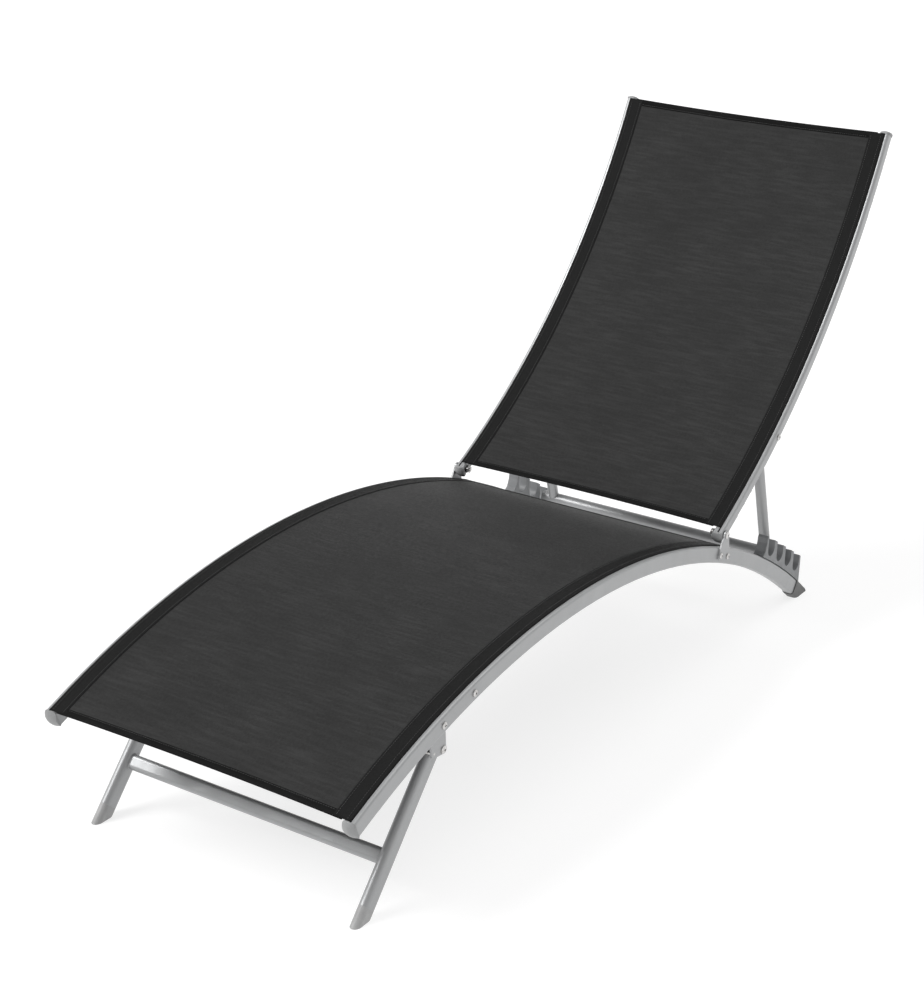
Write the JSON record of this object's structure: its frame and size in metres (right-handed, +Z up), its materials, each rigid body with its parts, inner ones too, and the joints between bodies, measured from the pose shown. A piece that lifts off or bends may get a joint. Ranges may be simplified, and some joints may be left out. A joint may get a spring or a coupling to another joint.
{
  "type": "reclining sun lounger",
  "caption": "Sun lounger with an arched sling seat, a curved reclining backrest on a notched prop stay, and folding front legs.",
  "frame": {"origin": "on the ground, under the middle of the overall length and width", "axes": "+X to the right, +Y from the foot end to the head end, +Z up"},
  "size_m": [0.5682, 1.7118, 0.8613],
  "materials": {
    "frame_paint": "satin silver-grey powder coat",
    "sling_cloth": "woven PVC-coated polyester, matt",
    "welt_rod": "extruded",
    "foot_rubber": "moulded, matt",
    "rack_plastic": "moulded, fine grain",
    "cap_plastic": "moulded, fine grain",
    "leg_plastic": "moulded, fine grain",
    "zinc_steel": "bright zinc plate",
    "black_nylon": "turned",
    "plate_steel": "satin silver-grey powder coat"
  },
  "bodies": {
    "seat_frame": {"seat_rail_left": "frame_paint", "seat_rail_right": "frame_paint", "seat_end_cap_left": "cap_plastic", "seat_end_cap_right": "cap_plastic", "rear_foot_left": "foot_rubber", "rear_foot_right": "foot_rubber", "seat_front_bar": "frame_paint", "seat_middle_bar": "frame_paint", "seat_rear_bar": "frame_paint", "seat_sling": "sling_cloth", "seat_sling_edges": "sling_cloth", "seat_keder_left": "welt_rod", "seat_keder_right": "welt_rod", "notch_rack_left": "rack_plastic", "notch_rack_right": "rack_plastic", "rack_screws": "zinc_steel", "hinge_plate_left": "plate_steel", "hinge_plate_right": "plate_steel", "frame_bolts": "zinc_steel", "frame_nuts": "zinc_steel", "hinge_pivot_bolt_left": "zinc_steel", "hinge_pivot_bolt_right": "zinc_steel", "hinge_washers": "black_nylon", "hinge_pivot_nuts": "zinc_steel", "leg_bracket_left": "plate_steel", "leg_bracket_right": "plate_steel", "leg_stop_studs": "zinc_steel", "leg_pivot_bolt_left": "zinc_steel", "leg_pivot_bolt_right": "zinc_steel", "leg_pivot_bushes": "black_nylon", "leg_pivot_nuts": "zinc_steel"},
    "backrest": {"backrest_rail_left": "frame_paint", "backrest_rail_right": "frame_paint", "backrest_lower_cap_left": "cap_plastic", "backrest_lower_cap_right": "cap_plastic", "backrest_upper_cap_left": "cap_plastic", "backrest_upper_cap_right": "cap_plastic", "backrest_lower_bar": "frame_paint", "backrest_upper_bar": "frame_paint", "backrest_sling": "sling_cloth", "backrest_sling_edges": "sling_cloth", "backrest_keder_left": "welt_rod", "backrest_keder_right": "welt_rod", "stay_pivot_bolt_left": "zinc_steel", "stay_pivot_bolt_right": "zinc_steel", "stay_pivot_bushes": "black_nylon", "stay_pivot_nuts": "zinc_steel"},
    "support_stay": {"stay_leg_left": "frame_paint", "stay_leg_right": "frame_paint", "stay_bar": "frame_paint", "stay_bar_plugs": "cap_plastic", "stay_leg_caps": "cap_plastic"},
    "front_legs": {"leg_tube_left": "frame_paint", "leg_tube_right": "frame_paint", "leg_cross_bar": "frame_paint", "leg_foot_left": "leg_plastic", "leg_foot_right": "leg_plastic", "leg_top_cap_left": "leg_plastic", "leg_top_cap_right": "leg_plastic"}
  },
  "joints": [
    {"name": "backrest_recline", "type": "hinge", "parent": "seat_frame", "child": "backrest", "pos_m": [0, 0.24704, 0.24815], "axis": [1, 0, 0], "range_deg": [-45, 19]},
    {"name": "stay_fold", "type": "hinge", "parent": "backrest", "child": "support_stay", "pos_m": [0, 0.44487, 0.37123], "axis": [1, 0, 0], "range_deg": [-36, 82]},
    {"name": "leg_fold", "type": "hinge", "parent": "seat_frame", "child": "front_legs", "pos_m": [0, -0.61038, 0.201], "axis": [1, 0, 0], "range_deg": [0, 135]}
  ],
  "couplings": [
    {"joint": "stay_fold", "follows": "backrest_recline", "ratio": -1.8}
  ]
}
